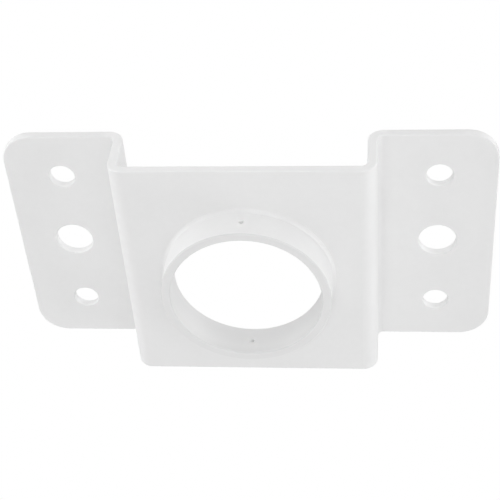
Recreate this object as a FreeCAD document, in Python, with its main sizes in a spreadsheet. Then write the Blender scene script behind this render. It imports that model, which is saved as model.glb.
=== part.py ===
import FreeCAD, Part
import math
import os

import Sketcher

V = FreeCAD.Vector

# Ceiling mount adapter: a bracket folded from 3 mm sheet into a hat section, with a
# short pipe collar welded into its pan. The frame is the installed pose: the flanges
# lie against the ceiling at Z = 0, and the pan and the collar hang below it.
#   origin  centre of the hole pattern, in the ceiling plane, on the collar's axis
#   +X      along the bracket, across its two flanges
#   +Y      along the folds
#   +Z      up, towards the ceiling
doc = FreeCAD.newDocument("ceiling_mount_adapter")

# ---------------------------------------------------------------- dimensions, mm
sheet = doc.addObject("Spreadsheet::Sheet", "dims")
sheet.Label = "dims"
DIMS = [
    ("overall_width", 160.0, "over both flanges, along X"),
    ("depth", 86.0, "along the folds, Y"),
    ("gauge", 3.0, "sheet thickness"),
    ("drop", 21.5, "ceiling plane down to the pan's lower face"),
    ("pan_width", 83.6, "over the outer faces of the two walls"),
    ("bend_in", 2.0, "inside radius of the four folds"),
    ("bend_out", 5.0, "outside radius of the four folds"),
    ("corner_round", 10.0, "flange outer corners, in plan"),
    ("edge_round", 0.4, "coated cut edges"),
    ("row_spacing", 123.0, "left hole row to right hole row"),
    ("screw_spacing", 54.0, "between the two small holes of a row"),
    ("screw_hole", 8.5, "diameter of the four small holes, for M8"),
    ("bolt_hole", 12.5, "diameter of the two middle holes, for M12"),
    ("tube_outer", 55.0, "collar outside diameter"),
    ("tube_inner", 49.0, "collar bore, slides over a 48.3 mm pipe"),
    ("tube_reach", 11.0, "collar below the pan's lower face"),
    ("tube_setback", 1.0, "pan's upper face down to the collar's upper end, in the seat"),
    ("lead_in", 1.5, "chamfer inside the collar's upper end"),
    ("mouth_break", 0.25, "chamfer inside and outside the collar's lower rim"),
    ("seat_break", 0.3, "chamfer of the seat's upper edge and of the collar's outer upper edge"),
    ("weld_leg", 1.0, "leg of the fine fillet weld round the collar"),
    ("weld_radius", 1.5, "radius of the weld's hollow face"),
    ("lock_hole", 1.5, "pilot hole for each of the two self-tapping locking screws"),
    ("lock_height", 5.1, "locking screw axis below the pan's lower face"),
    ("lock_break", 0.25, "countersink at the outer end of each locking hole"),
]
for row, (name, value, note) in enumerate(DIMS, start=1):
    sheet.set("A%d" % row, name)
    sheet.set("B%d" % row, str(value))
    sheet.set("C%d" % row, note)
    sheet.setAlias("B%d" % row, name)
doc.recompute()


def plane(body, role):
    return next(o for o in body.Origin.OriginFeatures if o.Role == role)


def new_sketch(body, name, role):
    sk = body.newObject("Sketcher::SketchObject", name)
    sk.AttachmentSupport = [(plane(body, role), "")]
    sk.MapMode = "FlatFace"
    return sk


def datum(sk, kind, refs, formula):
    """A driving dimension whose value follows a formula of the sheet's cells."""
    value = abs(evaluate(formula))
    at = sk.addConstraint(Sketcher.Constraint(kind, *refs, value))
    sk.setExpression("Constraints[%d]" % at, formula)
    return at


def evaluate(formula):
    cells = {name: value for name, value, note in DIMS}
    total, text = 0.0, formula.replace(" ", "")
    # the formulas here are sums of terms NAME, NAME/2 or NAME/4
    for term in text.replace("-", "+-").split("+"):
        if not term:
            continue
        sign = -1.0 if term.startswith("-") else 1.0
        term = term.lstrip("-")
        share = 1.0
        if "/" in term:
            term, by = term.split("/")
            share = 1.0 / float(by)
        total += sign * share * cells[term.replace("dims.", "")]
    return total


def from_origin(sk, geo, point, across=None, up=None):
    """Ties a point to the sketch's origin. Each value is (sign, formula) or 0."""
    for kind, spec in (("DistanceX", across), ("DistanceY", up)):
        if spec is None:
            continue
        if spec == 0:
            on_axis = -2 if kind == "DistanceX" else -1
            sk.addConstraint(Sketcher.Constraint("PointOnObject", geo, point, on_axis))
            continue
        sign, formula = spec
        refs = (-1, 1, geo, point) if sign > 0 else (geo, point, -1, 1)
        datum(sk, kind, refs, formula)


def edges_where(shape, test):
    return ["Edge%d" % (i + 1) for i, e in enumerate(shape.Edges) if test(e)]


def ends(e):
    return e.Vertexes[0].Point, e.Vertexes[-1].Point


def cell(name):
    return float(sheet.get(name))


# ---------------------------------------------------------------- bracket_plate
# One folded sheet: flange, wall, pan, wall, flange, all of the same thickness.
plate = doc.addObject("PartDesign::Body", "bracket_plate")
plate.Label = "bracket_plate"

hat = new_sketch(plate, "hat_section", "XZ_Plane")
half, wall, gauge, drop = (
    cell("overall_width") / 2,
    cell("pan_width") / 2,
    cell("gauge"),
    cell("drop"),
)
outline = [
    (-half, 0),
    (-half, -gauge),
    (-wall, -gauge),
    (-wall, -drop),
    (wall, -drop),
    (wall, -gauge),
    (half, -gauge),
    (half, 0),
    (wall - gauge, 0),
    (wall - gauge, gauge - drop),
    (gauge - wall, gauge - drop),
    (gauge - wall, 0),
]
count = len(outline)
for i in range(count):
    a, b = outline[i], outline[(i + 1) % count]
    hat.addGeometry(Part.LineSegment(V(a[0], a[1], 0), V(b[0], b[1], 0)))
for i in range(count):
    hat.addConstraint(Sketcher.Constraint("Coincident", i, 2, (i + 1) % count, 1))
    a, b = outline[i], outline[(i + 1) % count]
    hat.addConstraint(Sketcher.Constraint("Vertical" if a[0] == b[0] else "Horizontal", i))
# the six upright lines, then the levels
HALF, WALL = "dims.overall_width / 2", "dims.pan_width / 2"
from_origin(hat, 0, 1, across=(-1, HALF), up=0)
from_origin(hat, 0, 2, up=(-1, "dims.gauge"))
from_origin(hat, 2, 1, across=(-1, WALL))
from_origin(hat, 2, 2, up=(-1, "dims.drop"))
from_origin(hat, 4, 1, across=(1, WALL))
from_origin(hat, 4, 2, up=(-1, "dims.gauge"))
from_origin(hat, 6, 1, across=(1, HALF))
from_origin(hat, 6, 2, up=0)
from_origin(hat, 8, 1, across=(1, WALL + " - dims.gauge"))
from_origin(hat, 8, 2, up=(-1, "dims.drop - dims.gauge"))
from_origin(hat, 10, 1, across=(-1, WALL + " - dims.gauge"))

folded = plate.newObject("PartDesign::Pad", "sheet_run")
folded.Profile = hat
folded.SideType = "Symmetric"
folded.setExpression("Length", "dims.depth")
plate.Tip = folded
doc.recompute()

# the folds: inside radius in the four hollow corners, outside radius on the four crests
def fold_corner(x, z):
    def test(e):
        if not isinstance(e.Curve, Part.Line):
            return False
        a, b = ends(e)
        return (
            abs(a.y - b.y) > cell("depth") * 0.9
            and abs(abs(a.x) - x) < 0.01
            and abs(a.z - z) < 0.01
        )

    return test


inside = plate.newObject("PartDesign::Fillet", "folds_inside")
inside.Base = (
    folded,
    edges_where(folded.Shape, fold_corner(wall, -gauge))
    + edges_where(folded.Shape, fold_corner(wall - gauge, gauge - drop)),
)
inside.setExpression("Radius", "dims.bend_in")
plate.Tip = inside
doc.recompute()

outside = plate.newObject("PartDesign::Fillet", "folds_outside")
outside.Base = (
    inside,
    edges_where(inside.Shape, fold_corner(wall, -drop))
    + edges_where(inside.Shape, fold_corner(wall - gauge, 0)),
)
outside.setExpression("Radius", "dims.bend_out")
plate.Tip = outside
doc.recompute()

# the flanges' four outer corners, rounded in plan
corners = plate.newObject("PartDesign::Fillet", "flange_corners")
corners.Base = (
    outside,
    edges_where(
        outside.Shape,
        lambda e: isinstance(e.Curve, Part.Line)
        and abs(ends(e)[0].z - ends(e)[1].z) > gauge * 0.9
        and abs(abs(ends(e)[0].x) - half) < 0.01,
    ),
)
corners.setExpression("Radius", "dims.corner_round")
plate.Tip = corners
doc.recompute()

# one flange's row of three holes, from the ceiling plane down, then mirrored
row_sketch = new_sketch(plate, "flange_hole_row", "XY_Plane")
for y, size in ((-1, "dims.screw_hole"), (0, "dims.bolt_hole"), (1, "dims.screw_hole")):
    geo = row_sketch.addGeometry(
        Part.Circle(
            V(cell("row_spacing") / 2, y * cell("screw_spacing") / 2, 0),
            V(0, 0, 1),
            evaluate(size) / 2,
        )
    )
    datum(row_sketch, "Diameter", (geo,), size)
    from_origin(
        row_sketch,
        geo,
        3,
        across=(1, "dims.row_spacing / 2"),
        up=(y, "dims.screw_spacing / 2") if y else 0,
    )
holes = plate.newObject("PartDesign::Pocket", "flange_holes")
holes.Profile = row_sketch
holes.Type = "ThroughAll"
plate.Tip = holes
doc.recompute()

other_row = plate.newObject("PartDesign::Mirrored", "flange_holes_mirrored")
other_row.Originals = [holes]
other_row.MirrorPlane = (plane(plate, "YZ_Plane"), [""])
plate.Tip = other_row
doc.recompute()

# the seat that the collar's tube stands in, through the pan
seat_sketch = new_sketch(plate, "collar_seat_circle", "XY_Plane")
geo = seat_sketch.addGeometry(
    Part.Circle(V(0, 0, 0), V(0, 0, 1), cell("tube_outer") / 2)
)
seat_sketch.addConstraint(Sketcher.Constraint("Coincident", geo, 3, -1, 1))
datum(seat_sketch, "Diameter", (geo,), "dims.tube_outer")
seat = plate.newObject("PartDesign::Pocket", "collar_seat")
seat.Profile = seat_sketch
seat.Type = "ThroughAll"
plate.Tip = seat
doc.recompute()


# every cut edge of the sheet, holes included, but not the seat under the weld
def cut_edge(e):
    box = e.BoundBox
    mid = e.valueAt((e.FirstParameter + e.LastParameter) / 2)
    hole_edge = isinstance(e.Curve, Part.Circle) and abs(e.Curve.Axis.z) > 0.99
    if hole_edge:
        return e.Curve.Radius < 0.45 * cell("tube_outer")
    if abs(abs(mid.y) - cell("depth") / 2) < 0.01 and box.YLength < 0.01:
        # the outline of a cut end, but not the short upright lines across the sheet
        return True
    on_end = abs(abs(mid.x) - half) < 0.01 and box.XLength < 0.01
    return on_end and box.ZLength < 0.01


soft = plate.newObject("PartDesign::Fillet", "edge_rounding")
soft.Base = (seat, edges_where(seat.Shape, cut_edge))
soft.setExpression("Radius", "dims.edge_round")
plate.Tip = soft
doc.recompute()


# the seat's upper edge is broken, and the collar's end lies 1 mm below it
def seat_top_edge(e):
    return (
        isinstance(e.Curve, Part.Circle)
        and abs(e.Curve.Radius - cell("tube_outer") / 2) < 0.01
        and abs(e.Curve.Center.z - (gauge - drop)) < 0.01
    )


groove = plate.newObject("PartDesign::Chamfer", "seat_edge_break")
groove.Base = (soft, edges_where(soft.Shape, seat_top_edge))
groove.setExpression("Size", "dims.seat_break")
plate.Tip = groove
doc.recompute()

# ---------------------------------------------------------------- pipe_collar
# A short length of 55 x 3 mm tube. It stands 2 mm deep in the pan's seat, hangs below
# the pan and carries the fine weld that joins it to the pan's lower face.
collar = doc.addObject("PartDesign::Body", "pipe_collar")
collar.Label = "pipe_collar"
section = new_sketch(collar, "collar_section", "XZ_Plane")
ro, ri = cell("tube_outer") / 2, cell("tube_inner") / 2
top, pan, rim = gauge - drop - cell("tube_setback"), -drop, -drop - cell("tube_reach")
lead, brk, leg, rw, sb = (
    cell("lead_in"),
    cell("mouth_break"),
    cell("weld_leg"),
    cell("weld_radius"),
    cell("seat_break"),
)
points = [
    (ri + lead, top),
    (ro - sb, top),
    (ro, top - sb),
    (ro, pan),
    (ro + leg, pan),
    (ro, pan - leg),
    (ro, rim + brk),
    (ro - brk, rim),
    (ri + brk, rim),
    (ri, rim + brk),
    (ri, top - lead),
]
# the weld's hollow face, from the pan's face to the tube's wall
off = math.sqrt(rw * rw - leg * leg / 2) / math.sqrt(2) + leg / 2
centre = V(ro + off, pan - off, 0)
size = len(points)
ARC = 4
for i in range(size):
    a, b = points[i], points[(i + 1) % size]
    if i == ARC:
        first = math.atan2(a[1] - centre.y, a[0] - centre.x)
        last = math.atan2(b[1] - centre.y, b[0] - centre.x)
        section.addGeometry(
            Part.ArcOfCircle(Part.Circle(centre, V(0, 0, 1), rw), first, last)
        )
    else:
        section.addGeometry(Part.LineSegment(V(a[0], a[1], 0), V(b[0], b[1], 0)))
for i in range(size):
    section.addConstraint(Sketcher.Constraint("Coincident", i, 2, (i + 1) % size, 1))
    a, b = points[i], points[(i + 1) % size]
    if i != ARC and a[1] == b[1]:
        section.addConstraint(Sketcher.Constraint("Horizontal", i))
    elif i != ARC and a[0] == b[0]:
        section.addConstraint(Sketcher.Constraint("Vertical", i))
RO, RI, PAN = "dims.tube_outer / 2", "dims.tube_inner / 2", "dims.drop"
RIM = "dims.drop + dims.tube_reach"
TOP = "dims.drop - dims.gauge + dims.tube_setback"
from_origin(section, 0, 1, across=(1, RI + " + dims.lead_in"), up=(-1, TOP))
from_origin(section, 1, 1, across=(1, RO + " - dims.seat_break"))
from_origin(section, 2, 1, across=(1, RO), up=(-1, TOP + " + dims.seat_break"))
from_origin(section, 3, 1, up=(-1, PAN))
from_origin(section, 4, 1, across=(1, RO + " + dims.weld_leg"))
from_origin(section, 5, 1, across=(1, RO), up=(-1, PAN + " + dims.weld_leg"))
from_origin(section, 6, 1, up=(-1, RIM + " - dims.mouth_break"))
from_origin(section, 7, 1, across=(1, RO + " - dims.mouth_break"), up=(-1, RIM))
from_origin(section, 8, 1, across=(1, RI + " + dims.mouth_break"))
from_origin(section, 9, 1, across=(1, RI), up=(-1, RIM + " - dims.mouth_break"))
from_origin(section, 10, 1, up=(-1, TOP + " + dims.lead_in"))
datum(section, "Radius", (ARC,), "dims.weld_radius")

turned = collar.newObject("PartDesign::Revolution", "collar_turned")
turned.Profile = section
turned.ReferenceAxis = (section, ["V_Axis"])
turned.Angle = 360.0
collar.Tip = turned
doc.recompute()

# the two locking screw holes, front and back on one diameter
lock_sketch = new_sketch(collar, "lock_hole_circle", "XZ_Plane")
geo = lock_sketch.addGeometry(
    Part.Circle(
        V(0, -drop - cell("lock_height"), 0), V(0, 0, 1), cell("lock_hole") / 2
    )
)
datum(lock_sketch, "Diameter", (geo,), "dims.lock_hole")
from_origin(lock_sketch, geo, 3, across=0, up=(-1, PAN + " + dims.lock_height"))
lock = collar.newObject("PartDesign::Pocket", "lock_holes")
lock.Profile = lock_sketch
lock.SideType = "Symmetric"
lock.Type = "Length"
lock.setExpression("Length", "dims.tube_outer + 2 * dims.weld_leg + 4")
collar.Tip = lock
doc.recompute()


def lock_mouth(e):
    spots = [
        e.valueAt(e.FirstParameter + k * (e.LastParameter - e.FirstParameter) / 6)
        for k in range(7)
    ]
    reach = cell("lock_hole") / 2 + 0.02
    return all(
        abs(q.x) < reach
        and abs(q.z + drop + cell("lock_height")) < reach
        and abs(math.hypot(q.x, q.y) - ro) < 0.02
        for q in spots
    )


sunk = collar.newObject("PartDesign::Chamfer", "lock_hole_mouths")
sunk.Base = (lock, edges_where(lock.Shape, lock_mouth))
sunk.setExpression("Size", "dims.lock_break")
collar.Tip = sunk
doc.recompute()

# ---------------------------------------------------------------- checks, then files
bad = []
for obj in doc.Objects:
    if any(word in obj.State for word in ("Invalid", "Error")):
        bad.append("%s: %s" % (obj.Name, obj.State))
for sk in (hat, row_sketch, seat_sketch, section, lock_sketch):
    left = sk.solve()
    if left != 0 or not sk.FullyConstrained:
        bad.append("%s: solve %s, fully constrained %s" % (sk.Name, left, sk.FullyConstrained))


def volume_drop(before, after, least, what):
    lost = before.Shape.Volume - after.Shape.Volume
    print("%-24s removes %9.2f mm3" % (what, lost))
    if lost < least:
        bad.append("%s removed only %.3f mm3" % (what, lost))


def disc(diameter, thick):
    return math.pi * diameter * diameter / 4 * thick


row_area = 2 * disc(cell("screw_hole"), gauge) + disc(cell("bolt_hole"), gauge)
volume_drop(corners, holes, row_area * 0.999, "right hole row")
volume_drop(holes, other_row, row_area * 0.999, "left hole row")
volume_drop(other_row, seat, disc(cell("tube_outer"), gauge) * 0.999, "collar seat")
volume_drop(seat, soft, 1.0, "edge rounding")
volume_drop(soft, groove, 5.0, "seat edge break")
wall_thick = (cell("tube_outer") - cell("tube_inner")) / 2
volume_drop(
    turned, lock, 2 * disc(cell("lock_hole"), wall_thick) * 0.98, "locking screw holes"
)
volume_drop(lock, sunk, 0.1, "locking hole mouths")

for body in (plate, collar):
    shape = body.Shape
    if shape.isNull() or not shape.isValid() or len(shape.Solids) != 1:
        bad.append("%s: null, not valid, or not one solid" % body.Label)
    box = shape.optimalBoundingBox()
    print(
        "%-14s volume %10.1f mm3  x %.2f..%.2f  y %.2f..%.2f  z %.2f..%.2f"
        % (
            body.Label,
            shape.Volume,
            box.XMin,
            box.XMax,
            box.YMin,
            box.YMax,
            box.ZMin,
            box.ZMax,
        )
    )
if bad:
    raise RuntimeError("; ".join(bad))

os.makedirs("parts", exist_ok=True)
for body in (plate, collar):
    body.Shape.exportStep("parts/%s.step" % body.Label)
print("written:", ", ".join(body.Label for body in (plate, collar)))
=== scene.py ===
import math

import bpy
from mathutils import Matrix, Vector, noise


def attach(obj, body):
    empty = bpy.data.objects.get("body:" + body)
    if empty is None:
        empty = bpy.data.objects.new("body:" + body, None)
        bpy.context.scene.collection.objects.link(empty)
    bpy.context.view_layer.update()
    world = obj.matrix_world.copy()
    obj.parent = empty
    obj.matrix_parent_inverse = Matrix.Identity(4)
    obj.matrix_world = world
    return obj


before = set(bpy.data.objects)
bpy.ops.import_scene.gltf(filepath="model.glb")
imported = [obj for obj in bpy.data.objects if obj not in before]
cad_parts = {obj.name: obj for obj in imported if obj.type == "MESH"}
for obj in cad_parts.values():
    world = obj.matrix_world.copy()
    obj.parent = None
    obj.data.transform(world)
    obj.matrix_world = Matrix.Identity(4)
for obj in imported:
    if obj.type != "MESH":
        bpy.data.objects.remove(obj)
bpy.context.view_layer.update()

scene = bpy.context.scene
MM = 0.001


# ---------------------------------------------------------------- node helpers

def new_material(name):
    mat = bpy.data.materials.new(name)
    mat.use_nodes = True
    tree = mat.node_tree
    tree.nodes.clear()
    return mat, tree


def node(tree, kind, **values):
    """A node with its plain settings and its unlinked inputs set by name."""
    made = tree.nodes.new(kind)
    for key, value in values.items():
        if key.startswith("in_"):
            made.inputs[key[3:].replace("_", " ")].default_value = value
        else:
            setattr(made, key, value)
    return made


def math_node(tree, operation, a, b=None, c=None, clamp=False):
    """A Math node; each operand is a number or an output socket."""
    made = tree.nodes.new("ShaderNodeMath")
    made.operation = operation
    made.use_clamp = clamp
    for i, value in enumerate((a, b, c)):
        if value is None:
            continue
        if isinstance(value, (int, float)):
            made.inputs[i].default_value = value
        else:
            tree.links.new(value, made.inputs[i])
    return made.outputs[0]


def map_range(tree, value, lo, hi, to_lo=0.0, to_hi=1.0, smooth=True):
    made = node(tree, "ShaderNodeMapRange", interpolation_type="SMOOTHSTEP" if smooth else "LINEAR", clamp=True)
    tree.links.new(value, made.inputs["Value"])
    for key, number in (("From Min", lo), ("From Max", hi), ("To Min", to_lo), ("To Max", to_hi)):
        made.inputs[key].default_value = number
    return made.outputs["Result"]


def grey(value):
    return (value, value, value, 1.0)


# ---------------------------------------------------------------- powder coat

def noise_tex(tree, coords, scale, detail=2.0, roughness=0.5, dims="3D"):
    made = node(tree, "ShaderNodeTexNoise", noise_dimensions=dims, in_Scale=scale, in_Detail=detail, in_Roughness=roughness)
    tree.links.new(coords, made.inputs["Vector"])
    return made.outputs["Fac"]


def powder_coat(name, pale, deep, rough_lo, rough_hi, peel_depth, extra=None):
    """Satin powder coat: faint clouds of tone, orange peel with a 1 mm cell, fine grain, uneven gloss. Depths in metres."""
    mat, tree = new_material(name)
    out = node(tree, "ShaderNodeOutputMaterial")
    shader = node(tree, "ShaderNodeBsdfPrincipled", in_IOR=1.5)
    tree.links.new(shader.outputs["BSDF"], out.inputs["Surface"])
    coords = node(tree, "ShaderNodeTexCoord").outputs["Object"]

    cloud = noise_tex(tree, coords, 38.0, 3.0, 0.55)        # 26 mm clouds of film thickness
    mottle = noise_tex(tree, coords, 420.0, 2.0, 0.6)       # 2.4 mm mottle
    peel = noise_tex(tree, coords, 1000.0, 1.5, 0.45)       # orange peel
    grain = noise_tex(tree, coords, 3600.0, 1.0, 0.5)       # fine grain of the cured powder

    tone = math_node(tree, "MULTIPLY_ADD", cloud, 0.70, math_node(tree, "MULTIPLY", mottle, 0.30))
    tone = map_range(tree, tone, 0.36, 0.64)
    mix = node(tree, "ShaderNodeMix", data_type="RGBA")
    mix.inputs["A"].default_value = grey(deep)
    mix.inputs["B"].default_value = grey(pale)
    tree.links.new(tone, mix.inputs["Factor"])
    colour = mix.outputs["Result"]

    gloss = math_node(tree, "MULTIPLY_ADD", mottle, 0.5, math_node(tree, "MULTIPLY", cloud, 0.5))
    gloss = map_range(tree, gloss, 0.35, 0.65, rough_lo, rough_hi)

    height = math_node(tree, "MULTIPLY_ADD", grain, 0.10, peel)
    if extra:
        colour, gloss, height = extra(tree, coords, colour, gloss, height)
    bump = node(tree, "ShaderNodeBump", in_Strength=1.0, in_Distance=peel_depth)
    tree.links.new(height, bump.inputs["Height"])
    tree.links.new(bump.outputs["Normal"], shader.inputs["Normal"])
    tree.links.new(colour, shader.inputs["Base Color"])
    tree.links.new(gloss, shader.inputs["Roughness"])
    return mat


def plate_detail(tree, coords, colour, gloss, height):
    """The cut edges of the sheet: faint striations of the cut under the coat, a slightly duller film, and painted shade
    on the flange cut edges. Painted light on the walls of the six flange holes.
    """
    normal = node(tree, "ShaderNodeSeparateXYZ")
    tree.links.new(node(tree, "ShaderNodeNewGeometry").outputs["Normal"], normal.inputs[0])
    place = node(tree, "ShaderNodeSeparateXYZ")
    tree.links.new(coords, place.inputs[0])
    # the end faces look along Y; the flange ends look along X out at x = 80 mm
    end_faces = map_range(tree, math_node(tree, "ABSOLUTE", normal.outputs["Y"]), 0.55, 0.95)
    outer = map_range(tree, math_node(tree, "ABSOLUTE", place.outputs["X"]), 69.0 * MM, 71.0 * MM)
    flange_ends = math_node(tree, "MULTIPLY", outer, map_range(tree, math_node(tree, "ABSOLUTE", normal.outputs["X"]), 0.55, 0.95))
    cut = math_node(tree, "MAXIMUM", end_faces, flange_ends)

    squeeze = node(tree, "ShaderNodeVectorMath", operation="MULTIPLY")
    squeeze.inputs[1].default_value = (1.0, 1.0, 0.12)
    tree.links.new(coords, squeeze.inputs[0])
    stripe = noise_tex(tree, squeeze.outputs[0], 1900.0, 1.0, 0.5)
    height = math_node(tree, "MULTIPLY_ADD", math_node(tree, "MULTIPLY", stripe, cut), 0.9, height)
    gloss = math_node(tree, "MULTIPLY_ADD", cut, 0.05, gloss)

    # painted shade: the cut edges of the flanges are darkened
    abs_x = math_node(tree, "ABSOLUTE", place.outputs["X"])
    cut_edge_shade = node(tree, "ShaderNodeMix", data_type="RGBA")
    cut_edge_shade.inputs["B"].default_value = grey(0.785)
    tree.links.new(math_node(tree, "MULTIPLY", cut, map_range(tree, abs_x, 44.0 * MM, 47.0 * MM)), cut_edge_shade.inputs["Factor"])
    tree.links.new(colour, cut_edge_shade.inputs["A"])

    # painted light: the walls of the six flange holes are made paler
    steep = map_range(tree, math_node(tree, "ABSOLUTE", normal.outputs["Z"]), 0.30, 0.80, 1.0, 0.0)
    hole_light_field = math_node(tree, "MULTIPLY", map_range(tree, abs_x, 50.0 * MM, 52.0 * MM), map_range(tree, abs_x, 69.0 * MM, 71.0 * MM, 1.0, 0.0))
    hole_light_field = math_node(tree, "MULTIPLY", hole_light_field, map_range(tree, math_node(tree, "ABSOLUTE", place.outputs["Y"]), 34.0 * MM, 37.0 * MM, 1.0, 0.0))
    mix = node(tree, "ShaderNodeMix", data_type="RGBA")
    mix.inputs["B"].default_value = grey(0.90)
    tree.links.new(math_node(tree, "MULTIPLY", steep, hole_light_field), mix.inputs["Factor"])
    tree.links.new(cut_edge_shade.outputs["Result"], mix.inputs["A"])
    return mix.outputs["Result"], gloss, height


def collar_detail(tree, coords, colour, gloss, height):
    """The collar: a duller bore; painted shade in the bore, darker at its mouth, on the rim and on the rim's chamfered
    edges; painted light in the two small holes.
    """
    place = node(tree, "ShaderNodeSeparateXYZ")
    tree.links.new(coords, place.inputs[0])
    x2 = math_node(tree, "MULTIPLY", place.outputs["X"], place.outputs["X"])
    radius = math_node(tree, "SQRT", math_node(tree, "MULTIPLY_ADD", place.outputs["Y"], place.outputs["Y"], x2))
    # painted shade: the bore is darkened, more at its mouth, and the rim and its chamfered edges too
    bore_gloss_and_shade = map_range(tree, radius, 24.45 * MM, 24.75 * MM, 1.0, 0.0)
    gloss = math_node(tree, "MULTIPLY_ADD", bore_gloss_and_shade, 0.06, gloss)
    rim_shade = map_range(tree, place.outputs["Z"], -32.26 * MM, -32.20 * MM, 1.0, 0.0)
    off_middle = math_node(tree, "ABSOLUTE", math_node(tree, "SUBTRACT", radius, 26.0 * MM))
    chamfer_shade = math_node(tree, "MULTIPLY", rim_shade, map_range(tree, off_middle, 1.22 * MM, 1.30 * MM))
    mouth_shade = math_node(tree, "MULTIPLY", bore_gloss_and_shade, map_range(tree, place.outputs["Z"], -32.0 * MM, -29.0 * MM, 1.0, 0.0))
    # painted light: the two small holes are made paler, lifting their shade
    up = math_node(tree, "ADD", place.outputs["Z"], 26.6 * MM)
    across = math_node(tree, "MULTIPLY", place.outputs["X"], place.outputs["X"])
    from_axis = math_node(tree, "SQRT", math_node(tree, "MULTIPLY_ADD", up, up, across))
    hole_light = map_range(tree, from_axis, 0.80 * MM, 0.95 * MM, 1.0, 0.0)
    for mask, tone in ((bore_gloss_and_shade, 0.81), (mouth_shade, 0.775), (rim_shade, 0.78), (chamfer_shade, 0.72), (hole_light, 0.97)):
        mix = node(tree, "ShaderNodeMix", data_type="RGBA")
        mix.inputs["B"].default_value = grey(tone)
        tree.links.new(mask, mix.inputs["Factor"])
        tree.links.new(colour, mix.inputs["A"])
        colour = mix.outputs["Result"]
    return colour, gloss, height


plate_coat = powder_coat("plate_coat", 0.828, 0.812, 0.30, 0.40, 0.000026, plate_detail)
collar_coat = powder_coat("collar_finish", 0.828, 0.812, 0.30, 0.40, 0.000024, collar_detail)
weld_coat = powder_coat("weld_finish", 0.828, 0.806, 0.28, 0.38, 0.000020)


# ---------------------------------------------------------------- CAD nodes keep their shape and take the coat

def paint(obj, mat):
    for s in obj.material_slots:
        s.material = mat


paint(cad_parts["bracket_plate"], plate_coat)
paint(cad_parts["pipe_collar"], collar_coat)


# ---------------------------------------------------------------- weld bead

def add_mesh(name, verts, faces, mat):
    mesh = bpy.data.meshes.new(name)
    mesh.from_pydata(verts, [], faces)
    mesh.validate()
    mesh.polygons.foreach_set("use_smooth", [True] * len(mesh.polygons))
    mesh.materials.append(mat)
    obj = bpy.data.objects.new(name, mesh)
    scene.collection.objects.link(obj)
    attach(obj, "root")
    return obj


def make_weld_bead():
    """A closed ring over the joint of collar and pan: a fine hollow fillet with shallow ripples and uneven toes."""
    around, across = 1440, 10
    wall_r, pan_z, leg, hollow = 27.5, -21.5, 1.0, 1.5
    mid_r, mid_z = wall_r + leg / 2, pan_z - leg / 2
    reach = math.sqrt(hollow ** 2 - leg ** 2 / 2) / math.sqrt(2)
    cen_r, cen_z = mid_r + reach, mid_z - reach
    a0 = math.atan2(pan_z - leg - cen_z, wall_r - cen_r)      # toe on the collar
    a1 = math.atan2(pan_z - cen_z, wall_r + leg - cen_r)      # toe on the pan
    ripples = 180
    verts, faces = [], []
    ring = across + 4    # the row of the face and three hidden points behind it
    for i in range(around):
        th = 2 * math.pi * i / around
        cx, sx = math.cos(th), math.sin(th)
        slow = noise.noise(Vector((cx * 1.7, sx * 1.7, 4.2)))
        mid = noise.noise(Vector((cx * 5.5, sx * 5.5, 9.7)))
        fine = noise.noise(Vector((cx * 16.0, sx * 16.0, 2.3)))
        toe_wall = 0.03 + 0.05 * mid + 0.02 * fine
        toe_pan = 0.07 + 0.07 * noise.noise(Vector((cx * 6.3, sx * 6.3, 15.1))) + 0.03 * noise.noise(Vector((cx * 18.0, sx * 18.0, 7.7)))
        # where the bead closes on itself it is a little fuller, with a shallow dip behind
        gap = math.atan2(math.sin(th - math.radians(118)), math.cos(th - math.radians(118)))
        close = 0.07 * math.exp(-((gap / 0.05) ** 2)) - 0.03 * math.exp(-(((gap - 0.09) / 0.03) ** 2))
        for k in range(across + 1):
            s = k / across
            a = a0 + (a1 - a0) * s
            bow = (2 * s - 1) ** 2
            phase = ripples * th + 1.6 * bow + 1.3 * slow + 0.9 * mid
            scale = (0.5 - 0.5 * math.cos(phase)) ** 0.75 - 0.55
            env = math.sin(math.pi * min(1.0, max(0.0, 0.04 + 0.92 * s))) ** 0.8
            proud = 0.01 + env * (0.05 + 0.03 * scale + 0.02 * mid + 0.01 * fine + close)
            r = cen_r + (hollow - proud) * math.cos(a)
            z = cen_z + (hollow - proud) * math.sin(a)
            r += max(0.0, toe_pan) * s ** 3
            z -= max(0.0, toe_wall) * (1 - s) ** 3
            if k == 0:
                r = min(r, wall_r - 0.02)
            if k == across:
                z = max(z, pan_z + 0.02)
            verts.append((r * cx * MM, r * sx * MM, z * MM))
        # the hidden back of the ring, inside the two pieces
        for r, z in ((wall_r + leg, pan_z + 0.3), (wall_r - 0.3, pan_z + 0.3), (wall_r - 0.3, pan_z - leg)):
            verts.append((r * cx * MM, r * sx * MM, z * MM))
    for i in range(around):
        j = (i + 1) % around
        for k in range(ring):
            m = (k + 1) % ring
            faces.append((i * ring + k, i * ring + m, j * ring + m, j * ring + k))
    return add_mesh("weld_bead", verts, faces, weld_coat)


make_weld_bead()


# ---------------------------------------------------------------- floor, far below the hanging part

FLOOR_LIFT = 0.000         # light that the near floor gives off by itself


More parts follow.
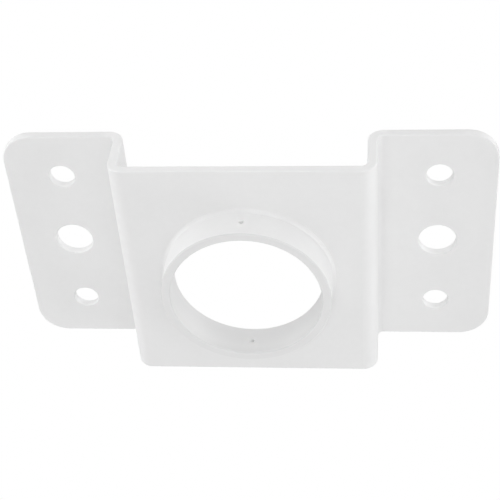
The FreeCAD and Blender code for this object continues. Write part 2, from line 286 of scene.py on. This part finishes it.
def make_floor():
    mesh = bpy.data.meshes.new("studio_floor")
    rings, steps = (0.0, 1.0, 2.5, 4.5, 7.5), 96
    z = -1.30
    verts = [(0, 0, z)]
    faces = []
    for r in rings[1:]:
        verts += [(r * math.cos(2 * math.pi * i / steps), r * math.sin(2 * math.pi * i / steps), z) for i in range(steps)]
    for i in range(steps):
        faces.append((0, 1 + i, 1 + (i + 1) % steps))
    for q in range(len(rings) - 2):
        a, b = 1 + q * steps, 1 + (q + 1) * steps
        for i in range(steps):
            j = (i + 1) % steps
            faces.append((a + i, b + i, b + j, a + j))
    mesh.from_pydata(verts, [], faces)
    mesh.validate()
    obj = bpy.data.objects.new("studio_floor", mesh)
    scene.collection.objects.link(obj)
    mat, tree = new_material("studio_floor_paint")
    out = node(tree, "ShaderNodeOutputMaterial")
    matt = node(tree, "ShaderNodeBsdfDiffuse", in_Roughness=0.6)
    glow = node(tree, "ShaderNodeEmission", name="horizon", in_Color=grey(1.0), in_Strength=0.000)
    lift = node(tree, "ShaderNodeEmission", name="lift", in_Color=grey(1.0), in_Strength=FLOOR_LIFT)
    near = node(tree, "ShaderNodeAddShader")
    blend = node(tree, "ShaderNodeMixShader")
    coords = node(tree, "ShaderNodeTexCoord").outputs["Object"]
    length = node(tree, "ShaderNodeVectorMath", operation="LENGTH")
    tree.links.new(coords, length.inputs[0])
    tone = noise_tex(tree, coords, 3.0, 3.0, 0.6)
    mix = node(tree, "ShaderNodeMix", data_type="RGBA")
    mix.inputs["A"].default_value = grey(0.900)
    mix.inputs["B"].default_value = grey(0.920)
    tree.links.new(tone, mix.inputs["Factor"])
    tree.links.new(mix.outputs["Result"], matt.inputs["Color"])
    # towards its rim the floor fades into its horizon glow, whose strength is 0
    tree.links.new(map_range(tree, length.outputs["Value"], 2.0, 7.0), blend.inputs["Fac"])
    tree.links.new(matt.outputs[0], near.inputs[0])
    tree.links.new(lift.outputs[0], near.inputs[1])
    tree.links.new(near.outputs[0], blend.inputs[1])
    tree.links.new(glow.outputs[0], blend.inputs[2])
    # to the eye it is a nearly white sweep with faint clouds, as the photograph's ground is
    far = map_range(tree, length.outputs["Value"], 1.5, 6.0)
    sweep = node(tree, "ShaderNodeMix", data_type="RGBA")
    tree.links.new(math_node(tree, "MAXIMUM", far, math_node(tree, "MULTIPLY", tone, 0.5)), sweep.inputs["Factor"])
    sweep.inputs["A"].default_value = grey(0.93)
    sweep.inputs["B"].default_value = grey(1.0)
    seen = node(tree, "ShaderNodeEmission", in_Strength=1.0)
    tree.links.new(sweep.outputs["Result"], seen.inputs["Color"])
    pick = node(tree, "ShaderNodeMixShader")
    tree.links.new(node(tree, "ShaderNodeLightPath").outputs["Is Camera Ray"], pick.inputs["Fac"])
    tree.links.new(blend.outputs[0], pick.inputs[1])
    tree.links.new(seen.outputs[0], pick.inputs[2])
    tree.links.new(pick.outputs[0], out.inputs["Surface"])
    mesh.materials.append(mat)


make_floor()


# ---------------------------------------------------------------- light

ROOM = 0.607
LOBES = [(180, 8, 10.0, 0.700), (90, 8, 10.0, 0.800)]   # azimuth, elevation, sharpness, strength


def direction(azimuth, elevation):
    """Azimuth 0 is in front of the part, towards -Y, and 90 is to its right."""
    a, e = math.radians(azimuth), math.radians(elevation)
    return (math.sin(a) * math.cos(e), -math.cos(a) * math.cos(e), math.sin(e))


def make_world():
    """White to the eye; as a light, an even room with soft lobes to the right and behind."""
    world = bpy.data.worlds.new("studio")
    scene.world = world
    world.use_nodes = True
    tree = world.node_tree
    tree.nodes.clear()
    out = node(tree, "ShaderNodeOutputWorld")
    seen = node(tree, "ShaderNodeBackground", in_Color=grey(1.0), in_Strength=1.0)
    lit = node(tree, "ShaderNodeBackground", in_Strength=1.0)
    pick = node(tree, "ShaderNodeMixShader")
    way = node(tree, "ShaderNodeTexCoord").outputs["Generated"]
    total = None
    for azimuth, elevation, sharp, weight in LOBES:
        dot = node(tree, "ShaderNodeVectorMath", operation="DOT_PRODUCT")
        dot.inputs[1].default_value = direction(azimuth, elevation)
        tree.links.new(way, dot.inputs[0])
        lobe = math_node(tree, "EXPONENT", math_node(tree, "MULTIPLY_ADD", dot.outputs["Value"], sharp, -sharp))
        total = math_node(tree, "MULTIPLY_ADD", lobe, weight, ROOM if total is None else total)
    tree.links.new(total, lit.inputs["Color"])
    tree.links.new(node(tree, "ShaderNodeLightPath").outputs["Is Camera Ray"], pick.inputs["Fac"])
    tree.links.new(lit.outputs[0], pick.inputs[1])
    tree.links.new(seen.outputs[0], pick.inputs[2])
    tree.links.new(pick.outputs[0], out.inputs["Surface"])


def area_light(name, place, aim, size, watts):
    data = bpy.data.lights.new(name, "AREA")
    data.shape = "SQUARE"
    data.size = size
    data.energy = watts
    obj = bpy.data.objects.new(name, data)
    obj.location = place
    way = Vector(aim) - Vector(place)
    obj.rotation_mode = "QUATERNION"
    obj.rotation_quaternion = way.to_track_quat("-Z", "Y")
    obj.visible_camera = False
    scene.collection.objects.link(obj)
    return obj


make_world()
area_light("front_below", (0.06, -0.4, -0.47), (0, 0, 0), 0.30, 0.2488)
area_light("below", (0, 0, -0.8), (0, 0, 0), 0.50, 0.1041)
area_light("front_right_below", (0.4, -0.4, -0.6), (0, 0, 0), 0.40, 0.3568)
area_light("left_far", (-0.9794, -0.1727, -0.1245), (0, 0, -0.02), 0.45, 1.0665)
area_light("front_far", (0.1727, -0.9794, -0.1245), (0, 0, -0.02), 0.45, 1.2184)
area_light("right_far", (0.9345, -0.3401, -0.1245), (0, 0, -0.02), 0.45, 1.1394)
area_light("right_rear_low", (0.2771, 0.16, -0.3), (0, 0, -0.02), 0.25, 0.0468)
area_light("rear_low", (0, 0.32, -0.3), (0, 0, -0.02), 0.25, 0.0880)
area_light("left_low", (-0.5552, 0.0979, -0.2252), (0, 0, -0.02), 0.25, 0.1845)
area_light("right_low", (0.5298, 0.1928, -0.2252), (0, 0, -0.02), 0.25, 0.4500)
area_light("over", (0, 0, 0.6), (0, 0, 0), 0.50, 0.3500)
area_light("over_rear", (0, 0.5, 0.35), (0, 0, 0), 0.40, 0.0500)
area_light("front_left_near", (-0.2687, -0.2687, -0.03), (-0.0212, 0, -0.02), 0.20, 0.1282)
area_light("left_near", (-0.38, 0, -0.03), (-0.03, 0, -0.02), 0.20, 0.3000)
area_light("front_steep_below", (0, -0.3, -0.6), (0, 0, 0), 0.30, 0.3643)
area_light("over_front_left", (-0.3, -0.45, 0.25), (0, 0, 0), 0.30, 0.1751)
area_light("over_front_right", (0.3, -0.45, 0.25), (0, 0, 0), 0.30, 0.0702)
area_light("over_left", (-0.45, -0.1, 0.3), (0, 0, 0), 0.30, 0.1763)
area_light("over_right", (0.45, -0.1, 0.3), (0, 0, 0), 0.30, 0.3000)


# ---------------------------------------------------------------- camera, below and in front of the hanging part

def make_camera():
    right = Vector((0.994313, 0.067357, 0.082488))
    down = Vector((0.003177, 0.755465, -0.655182))
    ahead = Vector((-0.106448, 0.651718, 0.750955))
    data = bpy.data.cameras.new("camera")
    data.sensor_width = 36.0
    data.lens = 91.869
    data.clip_start, data.clip_end = 0.01, 60.0
    obj = bpy.data.objects.new("camera", data)
    turn = Matrix((right, -down, -ahead)).transposed()
    obj.matrix_world = Matrix.Translation((0.0447171, -0.2779052, -0.3285622)) @ turn.to_4x4()
    scene.collection.objects.link(obj)
    scene.camera = obj


make_camera()

scene.view_settings.view_transform = "Standard"
scene.view_settings.look = "None"
scene.view_settings.exposure = 0.0
scene.view_settings.gamma = 1.0
